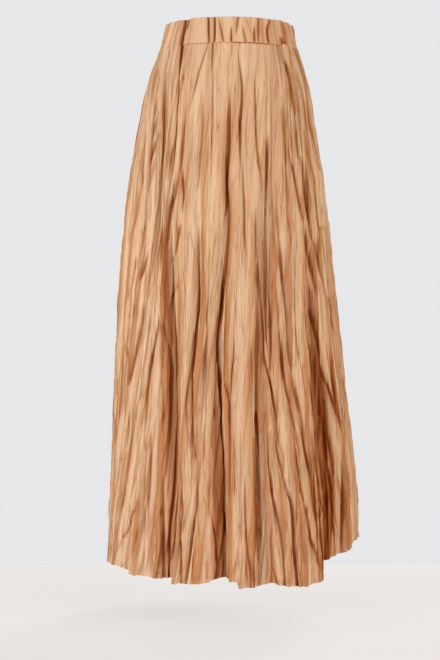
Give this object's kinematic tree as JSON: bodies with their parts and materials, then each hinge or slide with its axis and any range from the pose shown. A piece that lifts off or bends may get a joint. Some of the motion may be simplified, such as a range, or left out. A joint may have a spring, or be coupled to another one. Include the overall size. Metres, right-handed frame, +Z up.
{
  "type": "maxi skirt",
  "caption": "Ankle-length skirt of crinkle-pleated cloth, worn and hanging hollow from a gathered elastic waistband, open at waist and hem.",
  "frame": {"origin": "middle of the waist ring, half way up the waistband, where the wearer's waist holds the skirt", "axes": "+Z up along the wearer, -Y towards the front of the skirt, +X to the right of someone looking at the front"},
  "size_m": [0.452, 0.4032, 0.9914],
  "materials": {
    "cloth": "matte tan plain-weave cloth with a permanent vertical crinkle pleat",
    "waistband": "the same tan cloth, folded over a wide elastic and gathered"
  },
  "bodies": {
    "root": {"skirt_front": "cloth", "skirt_back": "cloth", "waistband_front": "waistband", "waistband_back": "waistband"}
  },
  "joints": []
}
